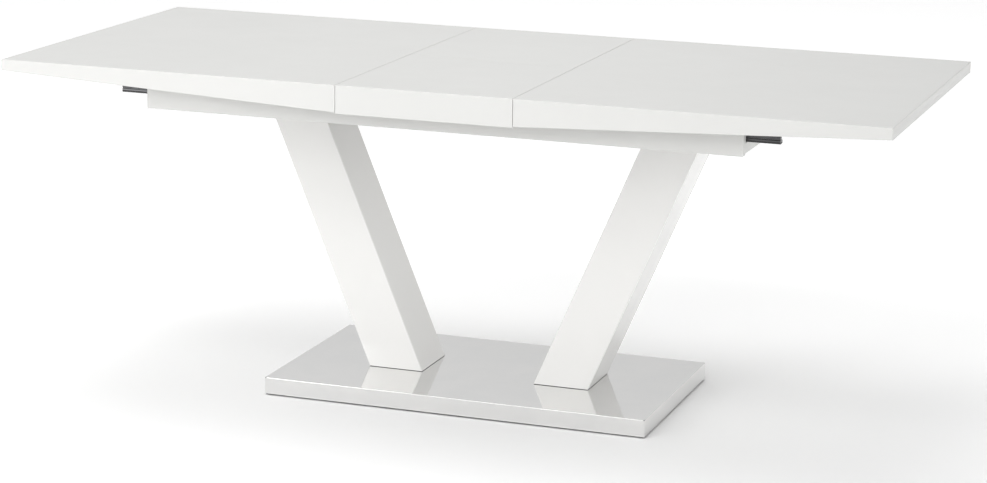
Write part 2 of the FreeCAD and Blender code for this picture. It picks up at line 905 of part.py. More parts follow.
def sync_pinion():
    """Pinion with a hub, running on the axle."""
    points = pinion_outline()
    outline = Part.makePolygon(points + points[:1])
    height = D["gear_height"].value
    gear = Part.Face(outline).extrude(Vector(0, 0, height))
    floor = (D["frame_bottom"] + D["cross_board_thickness"] + D["housing_floor"]).value
    hub_height = D["gear_bottom"].value - floor - 0.3
    hub = Part.makeCylinder(D["hub_radius"].value, hub_height, Vector(0, 0, -hub_height))
    bore = Part.makeCylinder(D["axle_radius"].value + 0.05, 60, Vector(0, 0, -30))
    piece = doc.addObject("Part::Feature", "sync_pinion")
    piece.Label = "sync_pinion"
    piece.Shape = gear.fuse(hub).cut(bore).removeSplitter()
    place(piece, z=D["gear_bottom"])
    nodes.append(piece)


def rack_screw_xs():
    """Screw positions in a rack's foot, measured from the pinion."""
    middle = D["rack_foot_end"] - D["rack_foot_length"] / 2
    return [middle - 15, middle + 15]


def rack(name, side):
    """Toothed bar beside the pinion with a foot that bolts under its half."""
    body = new_body(f"rack_{name}")
    pitch = math.pi * D["gear_module"]
    back = RACK_FACE + D["rack_back"]
    bar = new_sketch(body, "XY_Plane")
    draw_rectangle(bar, -D["rack_foot_end"], 5 * pitch, -back, -RACK_FACE)
    pad(body, bar, D["gear_height"])
    tooth = new_sketch(body, "XY_Plane")
    slope = math.tan(math.radians(20))
    middle = 4.5 * pitch
    at_pitch = (pitch / 2 - D["gear_backlash"] / 2) / 2
    root = at_pitch + 1.25 * slope * D["gear_module"]
    tip = at_pitch - 0.95 * slope * D["gear_module"]
    tip_y = PITCH_RADIUS - 0.95 * D["gear_module"]
    draw_polygon(tooth, [
        (middle - root, -RACK_FACE), (middle + root, -RACK_FACE),
        (middle + tip, -tip_y), (middle - tip, -tip_y),
    ])
    one_tooth = pad(body, tooth, D["gear_height"])
    row = body.newObject("PartDesign::LinearPattern", f"{body.Name}_teeth")
    row.Originals = [one_tooth]
    axis = next(o for o in body.Origin.OriginFeatures if o.Role == "X_Axis")
    row.Direction = (axis, [""])
    row.Reversed = True
    bind(row, "Length", (D["rack_tooth_count"] - 1) * pitch)
    bind(row, "Occurrences", D["rack_tooth_count"])
    body.Tip = row
    foot = new_sketch(body, "XY_Plane")
    foot_start = D["rack_foot_length"] - D["rack_foot_end"]
    draw_rectangle(foot, -D["rack_foot_end"], foot_start, -back, D["rack_foot_width"] - back)
    pad(body, foot, PANEL_BOTTOM - D["gear_bottom"])
    holes = new_sketch(body, "XY_Plane")
    for x in rack_screw_xs():
        draw_circle(holes, -x, D["rack_foot_width"] / 2 - back, D["screw_radius"])
    pocket(body, holes)
    place(body, z=D["gear_bottom"], rotation=TURNED if side > 0 else STRAIGHT)


def rack_screw_positions(side):
    """Rack screws of one half in table coordinates."""
    y = RACK_FACE + D["rack_back"] - D["rack_foot_width"] / 2
    return [(side * x, side * y) for x in rack_screw_xs()]


def rack_screws(name, side):
    """Long screws that hold a rack's foot up under the panel."""
    screws = []
    for x, y in rack_screw_positions(side):
        length = PANEL_BOTTOM - D["gear_bottom"] + D["screw_length"]
        item = screw("rack_screw", D["screw_head_radius"], D["rail_screw_head"],
                     D["screw_radius"], length)
        place(item, x, y, D["gear_bottom"], Rotation(Vector(1, 0, 0), 180))
        screws.append(item)
    compound(f"rack_screws_{name}", screws)


# ------------------------------------------------------------------ table top


def top_panel(name, side):
    """One half of the top, with pilot holes in its underside."""
    body = new_body(f"top_panel_{name}")
    outline = new_sketch(body, "XY_Plane")
    draw_centred(outline, HALF_TOP_LENGTH, D["table_width"])
    board = pad(body, outline, D["panel_thickness"])
    round_edges(body, board, D["panel_edge_round"], at_height(D["panel_thickness"].value))
    middle = D["open_length"] / 2 - HALF_TOP_LENGTH / 2
    pilots = new_sketch(body, "XY_Plane")
    for x, y in rail_screw_positions(side) + rack_screw_positions(side):
        draw_circle(pilots, x - side * middle, y, D["screw_radius"])
    pocket(body, pilots, D["screw_length"] + 1)
    place(body, x=side * middle, z=PANEL_BOTTOM)


def edge_band(label, side, rear):
    """Tapered strip under a long edge: deep at the leaf, thin at the table end."""
    body = new_body(label)
    outline = new_sketch(body, "XZ_Plane")
    inner = side * (HALF_LEAF + HALF_GAP)
    outer = side * D["open_length"] / 2
    draw_polygon(outline, [
        (inner, 0), (outer, 0), (outer, -D["band_drop_outer"]), (inner, -D["band_drop_inner"]),
    ])
    pad(body, outline, D["band_width"], side="Symmetric")
    y = D["table_width"] / 2 - D["band_width"] / 2
    place(body, y=y if rear else -y, z=PANEL_BOTTOM)


def half_top(name, side):
    """Everything that one half of the top carries."""
    top_panel(name, side)
    edge_band(f"edge_band_{name}_front", side, False)
    edge_band(f"edge_band_{name}_rear", side, True)
    for label, rear in (("front", False), ("rear", True)):
        rail(f"rail_{name}_{label}", side, rear)
        glide_strip(f"glide_strip_{name}_{label}", side, rear)
    rail_screws(name, side)
    rack(name, side)
    rack_screws(name, side)


def leaf_panel(name, side):
    """Half of the leaf, bored in its middle edge for the hinge barrels."""
    body = new_body(f"leaf_panel_{name}")
    length = D["leaf_length"] - D["seam_gap"]
    width = D["table_width"] / 2 - HALF_GAP
    outline = new_sketch(body, "XY_Plane")
    draw_rectangle(outline, -(length / 2), length / 2, 0, width)
    board = pad(body, outline, D["panel_thickness"])
    round_edges(body, board, D["panel_edge_round"], at_height(D["panel_thickness"].value))
    bores = new_sketch(body, "XZ_Plane")
    for i in HINGE_PLACES:
        draw_circle(bores, i * D["hinge_spacing"],
                    D["panel_thickness"] - D["barrel_axis_depth"], D["barrel_radius"])
    pocket(body, bores, D["barrel_length"], towards_normal=False)
    place(body, y=side * HALF_GAP, z=PANEL_BOTTOM, rotation=STRAIGHT if side > 0 else TURNED)


def leaf_band(name, side):
    """Straight deep strip under the outer edge of a leaf half."""
    body = new_body(f"leaf_band_{name}")
    outline = new_sketch(body, "XY_Plane")
    draw_centred(outline, D["leaf_length"] - D["seam_gap"], D["band_width"])
    pad(body, outline, D["leaf_band_drop"])
    y = D["table_width"] / 2 - D["band_width"] / 2
    place(body, y=side * y, z=PANEL_BOTTOM - D["leaf_band_drop"])


def hinge_barrel(name, x, side, slot_height):
    """Round hinge housing with a slot for the link, sunk in a leaf edge."""
    barrel = primitive("Cylinder", f"{name}_round", Radius=D["barrel_radius"],
                       Height=D["barrel_length"])
    slot_width = D["link_width"] + 0.4
    slot = primitive("Box", f"{name}_slot", Length=slot_width, Width=slot_height,
                     Height=D["link_slot_depth"])
    place(slot, -(slot_width / 2), -(slot_height / 2), 0)
    housing = doc.addObject("Part::Cut", f"{name}_housing")
    housing.Base = barrel
    housing.Tool = slot
    place(housing, x, side * HALF_GAP, D["table_height"] - D["barrel_axis_depth"],
          Rotation(Vector(1, 0, 0), -90 * side))
    return housing


def hinge_barrels(name, side, slot_height):
    """The three housings of one leaf half."""
    compound(f"hinge_barrels_{name}",
             [hinge_barrel(name, i * D["hinge_spacing"], side, slot_height)
              for i in HINGE_PLACES])


def hinge_links():
    """Flat links, held in the rear housings, that reach into the front ones."""
    links = []
    width = D["link_width"]
    height = D["link_height"]
    for i in HINGE_PLACES:
        link = primitive("Box", "hinge_link", Length=width,
                         Width=D["link_reach"] + HALF_GAP + D["link_slot_depth"] - 0.1,
                         Height=height)
        place(link, i * D["hinge_spacing"] - width / 2, -D["link_reach"],
              D["table_height"] - D["barrel_axis_depth"] - height / 2)
        links.append(link)
    compound("hinge_links", links)


# ------------------------------------------------------------------- assembly


def build():
    """Build every piece of the table."""
    base_cover()
    base_core()
    base_glides()
    base_bolts()
    for name, side in (("left", -1), ("right", 1)):
        post(name, side)
        post_gasket(name, side)
        post_blocks(name, side)
        head_plate(name, side)
    head_bolts()
    side_board("side_board_front", False)
    side_board("side_board_rear", True)
    cross_boards()
    frame_dowels()
    leaf_rest_block("leaf_rest_block_front", -1)
    leaf_rest_block("leaf_rest_block_rear", 1)
    slide_channel("slide_channel_front", False)
    slide_channel("slide_channel_rear", True)
    channel_screws()
    sync_housing()
    pinion_axle()
    sync_pinion()
    half_top("left", -1)
    half_top("right", 1)
    for name, side in (("rear", 1), ("front", -1)):
        leaf_panel(name, side)
        leaf_band(name, side)
    hinge_barrels("rear", 1, D["link_height"] + 0.4)
    hinge_barrels("front", -1, D["swing_slot_height"])
    hinge_links()


def check_document():
    """Stop if any object failed or any piece has a bad shape."""
    for obj in doc.Objects:
        if "Invalid" in obj.State or "Error" in obj.State:
            raise RuntimeError(f"{obj.Name} failed: {obj.State}")
    for piece in nodes:
        if piece.Shape.isNull() or not piece.Shape.isValid() or not piece.Shape.Solids:
            raise RuntimeError(f"{piece.Label} has a bad shape")


build()
doc.recompute()
check_document()
os.makedirs("parts", exist_ok=True)
for piece in nodes:
    piece.Shape.exportStep(f"parts/{piece.Label}.step")
print(f"{len(nodes)} pieces, {sum(len(p.Shape.Solids) for p in nodes)} solids")
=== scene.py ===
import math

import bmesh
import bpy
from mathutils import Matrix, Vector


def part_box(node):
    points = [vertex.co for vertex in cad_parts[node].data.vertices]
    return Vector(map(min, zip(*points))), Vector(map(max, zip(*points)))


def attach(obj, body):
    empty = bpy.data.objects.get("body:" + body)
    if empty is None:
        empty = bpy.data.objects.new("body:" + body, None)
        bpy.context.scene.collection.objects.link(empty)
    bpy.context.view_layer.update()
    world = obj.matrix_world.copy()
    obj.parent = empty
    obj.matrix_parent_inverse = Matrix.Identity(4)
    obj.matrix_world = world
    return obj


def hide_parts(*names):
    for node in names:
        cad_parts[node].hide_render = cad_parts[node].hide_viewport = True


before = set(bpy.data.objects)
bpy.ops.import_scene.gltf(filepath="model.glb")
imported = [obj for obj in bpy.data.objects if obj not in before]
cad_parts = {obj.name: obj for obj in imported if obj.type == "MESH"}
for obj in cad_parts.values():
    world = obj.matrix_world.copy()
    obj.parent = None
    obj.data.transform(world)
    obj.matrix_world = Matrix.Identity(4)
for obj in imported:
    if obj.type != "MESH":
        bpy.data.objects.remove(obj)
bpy.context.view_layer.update()  # bodies, nodes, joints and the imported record

# Looks of an extendable dining table: a white lacquered top in two halves with
# a folding leaf, a shallow lacquered frame with slides, two leaning gloss posts
# and a base covered in polished steel sheet. Metres, in the part's own frame:
# +X along the table, +Y to its rear long side, +Z up, origin on the floor.

# each side and each depth with its direction along X or Y
SIDES = (("left", -1), ("right", 1))
DEPTHS = (("front", -1), ("rear", 1))
# corners of a rectangle in order around it, as signs of X and Y
CORNERS = ((-1, -1), (1, -1), (1, 1), (-1, 1))

# corners closer together than this count as being in the same place
NEAR = 0.00005
# edges that turn more than this stay sharp on the rails
SHARP_ANGLE = math.radians(38)

# rounds on the top's outer edges, its lower edges, the seams' edges and the leaf's fold
TOP_EDGE_ROUND = 0.0015
UNDER_EDGE_ROUND = 0.0009
SEAM_EDGE_ROUND = 0.00025
FOLD_EDGE_ROUND = 0.0009
TOP_ROUND_STEPS = 4
# how far each side of a seam stands back from its node, so that the seam reads as a line
SEAM_INSET = 0.0003
# kept back from the long faces, because rounding slanted edges pushes them out a little
ROUND_ALLOWANCE = 0.00002

# bores in the middle edges of the leaf, around the hinge housings
HOUSING_COUNT = 3
HOUSING_CLEARANCE = 0.00015
HOUSING_SEGMENTS = 40

# rounds on the posts and on the boards of the frame
POST_EDGE_ROUND = 0.0025
POST_END_ROUND = 0.0004
POST_ROUND_STEPS = 5
BOARD_EDGE_ROUND = 0.0011
BOARD_ROUND_STEPS = 4

# steel sheet over the base, with a relief cut beside each corner and a slit down it
SHEET_THICKNESS = 0.0015
FOLD_RADIUS = 0.0015
FOLD_STEPS = 6
CORNER_RELIEF = 0.0024
CORNER_SLIT = 0.0003
SHOULDER_DROP = 0.00072

# section of the rails: a foot in the channel, a web, a flange on top
RAIL_FOOT_DEPTH = 0.0178
RAIL_FOOT_HEIGHT = 0.0038
RAIL_WEB_DEPTH = 0.011
RAIL_FLANGE = 0.003
RAIL_FLANGE_DEPTH = 0.036
# grooves between the ribs of the outer face
GROOVE_COUNT = 4
GROOVE_PITCH = 0.008
GROOVE_HEIGHT = 0.0032
GROOVE_DEPTH = 0.0014
# rounded flank of a groove, as distance past the groove's edge and share of its depth
GROOVE_FLANK = ((-0.0009, 0.0), (-0.00035, 0.16), (0.0, 0.5), (0.0003, 0.84), (0.0008, 1.0))

# ---------------------------------------------------------------- node tools


def new_material(name, **values):
    """A node material, its tree and its main shader with those socket values."""
    material = bpy.data.materials.new(name)
    material.use_nodes = True
    tree = material.node_tree
    main = tree.nodes["Principled BSDF"]
    for socket, value in values.items():
        main.inputs[socket.replace("_", " ")].default_value = value
    return material, tree, main


def add_node(tree, kind, inputs=None, **settings):
    """A node of that kind. Each input is a value, or an output to link from."""
    node = tree.nodes.new(kind)
    for name, value in settings.items():
        setattr(node, name, value)
    for name, value in (inputs or {}).items():
        set_input(tree, node.inputs[name], value)
    return node


def set_input(tree, socket, value):
    """Gives the socket a value, or links it from an output."""
    if isinstance(value, bpy.types.NodeSocket):
        tree.links.new(value, socket)
    else:
        socket.default_value = value


def place_on(tree, stretch=(1, 1, 1)):
    """Object coordinates in metres, scaled by the stretch."""
    where = add_node(tree, "ShaderNodeTexCoord").outputs["Object"]
    mapping = add_node(tree, "ShaderNodeMapping", {"Vector": where, "Scale": stretch})
    return mapping.outputs["Vector"]


def noise(tree, where, size, detail=2.0, roughness=0.5, distortion=0.0):
    """Soft noise from 0 to 1 whose blobs are about that size in metres."""
    node = add_node(tree, "ShaderNodeTexNoise",
                    {"Vector": where, "Scale": 1 / size, "Detail": detail,
                     "Roughness": roughness, "Distortion": distortion})
    return node.outputs["Fac"]


def spread(tree, value, low, high, start=0.3, end=0.7):
    """The value stretched so that start becomes low and end becomes high."""
    node = add_node(tree, "ShaderNodeMapRange",
                    {"Value": value, "From Min": start, "From Max": end,
                     "To Min": low, "To Max": high})
    return node.outputs["Result"]


def blend_colours(tree, share, first, second):
    """First colour where share is 0, second where it is 1."""
    node = add_node(tree, "ShaderNodeMix", {"Factor": share}, data_type="RGBA")
    first_socket, second_socket, blended = node.inputs[6], node.inputs[7], node.outputs[2]
    for socket, colour in ((first_socket, first), (second_socket, second)):
        is_output = isinstance(colour, bpy.types.NodeSocket)
        set_input(tree, socket, colour if is_output else (*colour, 1))
    return blended


def combine(tree, operation, first, second):
    """Math on two values or outputs."""
    node = add_node(tree, "ShaderNodeMath", operation=operation)
    for socket, value in zip(node.inputs, (first, second)):
        set_input(tree, socket, value)
    return node.outputs["Value"]


def add_ramp(tree, value, levels):
    """The level at each place from 0 to 1, blended evenly between the given ones."""
    node = add_node(tree, "ShaderNodeValToRGB", {"Fac": value})
    elements = node.color_ramp.elements
    while len(elements) < len(levels):
        elements.new(0.5)
    for element, (place, level) in zip(elements, levels):
        element.position = place
        element.color = (level, level, level, 1)
    return node.outputs["Color"]


def bump(tree, main, height, depth, strength=1.0):
    """Raises the surface by height times depth in metres."""
    node = add_node(tree, "ShaderNodeBump",
                    {"Height": height, "Distance": depth, "Strength": strength})
    tree.links.new(node.outputs["Normal"], main.inputs["Normal"])


# ---------------------------------------------------------------- materials

# each pair is the surface's usual colour and the one that it varies towards
TOP_WHITE = ((0.64, 0.64, 0.625), (0.625, 0.625, 0.61))
POST_WHITE = ((0.78, 0.775, 0.76), (0.77, 0.765, 0.75))
FRAME_WHITE = ((0.65, 0.65, 0.635), (0.635, 0.635, 0.62))
STEEL = ((0.86, 0.855, 0.845), (0.825, 0.825, 0.82))
ANODISED = ((0.08, 0.08, 0.082), (0.125, 0.125, 0.128))
ANODISED_DUSTY = (0.10, 0.10, 0.102)
FIBREBOARD = ((0.46, 0.33, 0.20), (0.62, 0.48, 0.32))
FIBREBOARD_CHIP = (0.33, 0.22, 0.13)
# black of the base's core: black paint, and also painted shade where the core shows in the gap
# under the steel sheet
BLACK_PAINT_AND_GAP_SHADE = ((0.014, 0.014, 0.014), (0.03, 0.028, 0.026))
BEECH = ((0.60, 0.42, 0.26), (0.72, 0.55, 0.37))
BEECH_RAY = (0.42, 0.27, 0.15)
POWDER_BLACK = ((0.018, 0.018, 0.019), (0.036, 0.036, 0.038))
ZINC = ((0.60, 0.62, 0.65), (0.70, 0.68, 0.60))
BRASS = ((0.78, 0.58, 0.26), (0.56, 0.38, 0.15))
BLACK_PLASTIC = ((0.016, 0.016, 0.017), (0.026, 0.026, 0.027))
NYLON = ((0.77, 0.77, 0.72), (0.83, 0.83, 0.79))

# share of the shaded white that fine dust in the lacquer leaves
DUST_SHADE = 0.97


def lacquer(name, colours, roughness, peel_depth):
    """Sprayed white lacquer: faint clouds in the tone, orange peel, fine dust nibs."""
    material, tree, main = new_material(name, IOR=1.5)
    where = place_on(tree)
    light, shaded = colours
    clouds = spread(tree, noise(tree, where, size=0.35, detail=3), 0, 1)
    tone = blend_colours(tree, clouds, light, shaded)
    specks = spread(tree, noise(tree, where, size=0.0012, detail=1), 0, 0.35, 0.55, 0.8)
    dusty = blend_colours(tree, specks, tone, [part * DUST_SHADE for part in shaded])
    tree.links.new(dusty, main.inputs["Base Color"])
    sheen_patches = noise(tree, where, size=0.11, detail=4, roughness=0.6)
    fine_grain = noise(tree, where, size=0.002, detail=2)
    uneven = combine(tree, "ADD", combine(tree, "MULTIPLY", sheen_patches, 0.7),
                     combine(tree, "MULTIPLY", fine_grain, 0.3))
    tree.links.new(spread(tree, uneven, *roughness), main.inputs["Roughness"])
    peel = noise(tree, where, size=0.004, detail=2, roughness=0.4)
    long_wave = noise(tree, where, size=0.05, detail=1)
    height = combine(tree, "ADD", peel, combine(tree, "MULTIPLY", long_wave, 1.5))
    bump(tree, main, height, peel_depth)
    return material


def polished_steel(name):
    """Mirror-polished stainless sheet: wipe marks, hairlines and a slight waviness."""
    material, tree, main = new_material(name, Metallic=1.0)
    where = place_on(tree)
    lengthwise = place_on(tree, stretch=(0.06, 1, 1))
    haze = noise(tree, where, size=0.12, detail=5, roughness=0.6, distortion=0.4)
    tone = blend_colours(tree, spread(tree, haze, 0, 1), *STEEL)
    tree.links.new(tone, main.inputs["Base Color"])
    hairlines = spread(tree, noise(tree, lengthwise, size=0.0009), 0, 1, 0.62, 0.8)
    wiped = spread(tree, haze, 0.03, 0.075)
    rough = combine(tree, "ADD", wiped, combine(tree, "MULTIPLY", hairlines, 0.05))
    tree.links.new(rough, main.inputs["Roughness"])
    waves = noise(tree, where, size=0.16, detail=1)
    scratched = combine(tree, "MULTIPLY", hairlines, 0.0015)
    bump(tree, main, combine(tree, "SUBTRACT", waves, scratched), 0.00012)
    return material


def extruded_metal(name):
    """Dark anodised extrusion: fine die lines along X and a dusty satin surface."""
    material, tree, main = new_material(name, Metallic=1.0, Anisotropic=0.35)
    where = place_on(tree)
    lengthwise = place_on(tree, stretch=(0.01, 1, 1))
    die_lines = noise(tree, lengthwise, size=0.0009, detail=3, roughness=0.7)
    tone = blend_colours(tree, spread(tree, die_lines, 0, 1), *ANODISED)
    patches = spread(tree, noise(tree, where, size=0.03, detail=3), 0, 0.5, 0.45, 0.75)
    dusty = blend_colours(tree, patches, tone, ANODISED_DUSTY)
    tree.links.new(dusty, main.inputs["Base Color"])
    tree.links.new(spread(tree, die_lines, 0.2, 0.32), main.inputs["Roughness"])
    bump(tree, main, die_lines, 0.00004)
    return material


def board_fibres(tree):
    """Noise like the pressed fibres of a board, drawn out along its faces."""
    stretched = place_on(tree, stretch=(0.35, 0.35, 1))
    return noise(tree, stretched, size=0.0022, detail=6, roughness=0.7, distortion=0.8)


def raw_board(name):
    """Unfinished fibreboard: brown fibres, darker chips and a soft nap."""
    material, tree, main = new_material(name, IOR=1.45)
    where = place_on(tree)
    fibres = board_fibres(tree)
    tone = blend_colours(tree, spread(tree, fibres, 0, 1), *FIBREBOARD)
    cells = add_node(tree, "ShaderNodeTexVoronoi", {"Vector": where, "Scale": 260.0})
    chips = spread(tree, cells.outputs["Distance"], 0.5, 0, 0.05, 0.25)
    chipped = blend_colours(tree, chips, tone, FIBREBOARD_CHIP)
    tree.links.new(chipped, main.inputs["Base Color"])
    tree.links.new(spread(tree, fibres, 0.75, 0.92), main.inputs["Roughness"])
    bump(tree, main, fibres, 0.00025)
    return material


def board_paint_and_gap_shade(name):
    """Black paint rolled on fibreboard, whose black in the gap under the base's steel sheet is
    also painted shade, a dark line along the base's foot: roller stipple and fibres showing
    through.
    """
    material, tree, main = new_material(name, IOR=1.45)
    tone = blend_colours(tree, spread(tree, board_fibres(tree), 0, 1), *BLACK_PAINT_AND_GAP_SHADE)
    tree.links.new(tone, main.inputs["Base Color"])
    stipple = noise(tree, place_on(tree), size=0.0018)
    tree.links.new(spread(tree, stipple, 0.6, 0.8), main.inputs["Roughness"])
    bump(tree, main, stipple, 0.00012)
    return material


def planed_wood(name):
    """Planed beech: growth rings along the grain and short dark rays."""
    material, tree, main = new_material(name, IOR=1.45)
    along = place_on(tree, stretch=(0.07, 1, 1))
    rings = add_node(tree, "ShaderNodeTexWave",
                     {"Vector": along, "Scale": 34.0, "Distortion": 3.2,
                      "Detail": 3.0, "Detail Scale": 1.4},
                     wave_type="BANDS", bands_direction="Z").outputs["Fac"]
    tone = blend_colours(tree, rings, *BEECH)
    rays = noise(tree, place_on(tree, stretch=(0.12, 1, 1)), size=0.0011)
    flecked = blend_colours(tree, spread(tree, rays, 0, 0.7, 0.58, 0.74), tone, BEECH_RAY)
    tree.links.new(flecked, main.inputs["Base Color"])
    tree.links.new(spread(tree, rings, 0.5, 0.62, 0, 1), main.inputs["Roughness"])
    bump(tree, main, combine(tree, "SUBTRACT", rings, rays), 0.00008)
    return material


def powder_coat(name):
    """Black powder coat on steel: a fine pebbled surface."""
    material, tree, main = new_material(name, IOR=1.5)
    pebbles = noise(tree, place_on(tree), size=0.0014, detail=3, roughness=0.6)
    tone = blend_colours(tree, spread(tree, pebbles, 0, 1), *POWDER_BLACK)
    tree.links.new(tone, main.inputs["Base Color"])
    tree.links.new(spread(tree, pebbles, 0.42, 0.6), main.inputs["Roughness"])
    bump(tree, main, pebbles, 0.0001)
    return material


def zinc_plate(name):
    """Bright zinc plating: cool grey with yellow stains and tool marks."""
    material, tree, main = new_material(name, Metallic=1.0)
    stains = noise(tree, place_on(tree), size=0.006, detail=4, roughness=0.6)
    tone = blend_colours(tree, spread(tree, stains, 0, 1), *ZINC)
    tree.links.new(tone, main.inputs["Base Color"])
    marks = noise(tree, place_on(tree, stretch=(1, 1, 0.2)), size=0.0006)
    tree.links.new(spread(tree, marks, 0.2, 0.38), main.inputs["Roughness"])
    bump(tree, main, marks, 0.00003)
    return material


def turned_brass(name):
    """Turned brass: rings from the lathe and a light tarnish."""
    material, tree, main = new_material(name, Metallic=1.0)
    tarnish = noise(tree, place_on(tree), size=0.008, detail=4, roughness=0.6)
    tone = blend_colours(tree, spread(tree, tarnish, 0, 1), *BRASS)
    tree.links.new(tone, main.inputs["Base Color"])
    rings = noise(tree, place_on(tree, stretch=(0.3, 1, 0.3)), size=0.0005, detail=1)
    tree.links.new(spread(tree, rings, 0.22, 0.4), main.inputs["Roughness"])
    bump(tree, main, rings, 0.00003)
    return material


def moulded_plastic(name, colours, roughness, grain_depth, **values):
    """Moulded plastic with spark-eroded grain and faint flow marks."""
    material, tree, main = new_material(name, IOR=1.5, **values)
    flowing = place_on(tree, stretch=(0.25, 1, 1))
    flow = noise(tree, flowing, size=0.02, detail=3, roughness=0.5, distortion=0.6)
    tone = blend_colours(tree, spread(tree, flow, 0, 1), *colours)
    tree.links.new(tone, main.inputs["Base Color"])
    grain = noise(tree, place_on(tree), size=0.0007)
    tree.links.new(spread(tree, grain, *roughness), main.inputs["Roughness"])
    bump(tree, main, grain, grain_depth)
    return material


materials = {
    "top_lacquer": lacquer("satin_white_lacquer", TOP_WHITE, (0.34, 0.42), 0.00001),
    "post_lacquer": lacquer("gloss_white_lacquer", POST_WHITE, (0.07, 0.10), 0.000004),
    "frame_lacquer": lacquer("frame_white_lacquer", FRAME_WHITE, (0.36, 0.46), 0.000012),
    "raw_board": raw_board("raw_fibreboard"),
    # the base's core, whose black also paints the shade in the gap under the steel sheet
    "black_board": board_paint_and_gap_shade("black_board_paint_and_gap_shade"),
    "plain_wood": planed_wood("planed_beech"),
    "polished_steel": polished_steel("mirror_steel_sheet"),
    "rail_metal": extruded_metal("anodised_extrusion"),
    "black_steel": powder_coat("black_powder_coat"),
    "zinc_steel": zinc_plate("zinc_plated_steel"),
    "hinge_brass": turned_brass("turned_brass"),
    "black_plastic": moulded_plastic("black_moulded_plastic", BLACK_PLASTIC,
                                     (0.42, 0.56), 0.00004),
    "gear_plastic": moulded_plastic("natural_nylon", NYLON, (0.36, 0.48), 0.00003,
                                    Subsurface_Weight=0.15, Subsurface_Scale=0.003),
}

# ---------------------------------------------------------------- mesh tools


def same(a, b):
    """Whether two measures are equal within the near distance."""
    return abs(a - b) < NEAR


def prism(first, second):
    """A closed solid between two outlines with the same number of corners."""
    form = bmesh.new()
    rings = [[form.verts.new(corner) for corner in outline]
             for outline in (first, second)]
    for ring in rings:
        form.faces.new(ring)
    count = len(first)
    for i in range(count):
        j = (i + 1) % count
        form.faces.new((rings[0][i], rings[0][j], rings[1][j], rings[1][i]))
    bmesh.ops.recalc_face_normals(form, faces=form.faces)
    return form


def weigh_edges(form, widest, rule):
    """Weighs each edge by the width of the round that rule(a, b) gives it.

    An edge without a round stays a sharp edge.
    """
    layer = form.edges.layers.float.new("bevel_weight_edge")
    for edge in form.edges:
        a, b = (vertex.co for vertex in edge.verts)
        width = rule(a, b)
        edge[layer] = width / widest
        edge.smooth = width > 0


def mark_sharp_edges(form):
    """Edges that turn more than the sharp angle stay crisp; the others are smooth."""
    for edge in form.edges:
        edge.smooth = edge.calc_face_angle(0) < SHARP_ANGLE


def mesh_from(form, name):
    """The form as a mesh of that name."""
    mesh = bpy.data.meshes.new(name)
    form.to_mesh(mesh)
    form.free()
    return mesh


def place_in_scene(name, data):
    """A new object in the scene, with that data."""
    thing = bpy.data.objects.new(name, data)
    bpy.context.scene.collection.objects.link(thing)
    return thing


def new_piece(name, form, slot):
    """The form as a smooth-shaded object with that slot's material."""
    mesh = mesh_from(form, name)
    mesh.shade_smooth()
    piece = place_in_scene(name, mesh)
    piece.data.materials.append(materials[slot])
    return piece


def round_weighted(piece, widest, steps):
    """Rounds the weighted edges and keeps the flat faces flat in shading."""
    bevel = piece.modifiers.new("edge_rounds", "BEVEL")
    bevel.limit_method = "WEIGHT"
    bevel.width = widest
    bevel.segments = steps
    bevel.use_clamp_overlap = False
    add_face_normals(piece)


def add_face_normals(piece):
    """Shades the large faces flat and bends the normals only across the small ones."""
    normals = piece.modifiers.new("face_normals", "WEIGHTED_NORMAL")
    normals.keep_sharp = True
    normals.weight = 100


def apply_modifiers(piece):
    """Makes the shape that the modifiers give the piece's own mesh."""
    graph = bpy.context.evaluated_depsgraph_get()
    mesh = bpy.data.meshes.new_from_object(piece.evaluated_get(graph))
    piece.modifiers.clear()
    piece.data = mesh


# ---------------------------------------------------------------- table top


def build_table_half(name, side):
    """Half of the top with the edge bands under its long edges, lacquered as one."""
    panel_low, panel_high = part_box(f"top_panel_{name}")
    band_low, band_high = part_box(f"edge_band_{name}_front")
    outer = panel_low.x if side < 0 else panel_high.x
    inner = (panel_high.x if side < 0 else panel_low.x) + side * SEAM_INSET
    out_y = panel_high.y - ROUND_ALLOWANCE
    in_y = -band_high.y
    top, under = panel_high.z, panel_low.z
    # the bands taper to almost nothing at the outer end
    band_end = under - SEAM_EDGE_ROUND

    def outline(x, band_bottom):
        return [(x, -out_y, band_bottom), (x, -in_y, band_bottom), (x, -in_y, under),
                (x, in_y, under), (x, in_y, band_bottom), (x, out_y, band_bottom),
                (x, out_y, top), (x, -out_y, top)]

    def round_of(a, b):
        on_top = same(a.z, top) and same(b.z, top)
        on_side = same(abs(a.y), out_y) and same(abs(b.y), out_y)
        if same(a.x, inner) and same(b.x, inner):
            return SEAM_EDGE_ROUND if on_top or on_side else 0
        if on_top:
            return TOP_EDGE_ROUND
        if on_side:
            at_end = same(a.x, outer) and same(b.x, outer)
            return TOP_EDGE_ROUND if at_end else UNDER_EDGE_ROUND
        return 0

    form = prism(outline(inner, band_low.z), outline(outer, band_end))
    weigh_edges(form, TOP_EDGE_ROUND, round_of)
    piece = new_piece(f"table_half_{name}", form, "top_lacquer")
    round_weighted(piece, TOP_EDGE_ROUND, TOP_ROUND_STEPS)
    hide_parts(f"top_panel_{name}", f"edge_band_{name}_front",
                f"edge_band_{name}_rear")
    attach(piece, f"top_{name}")


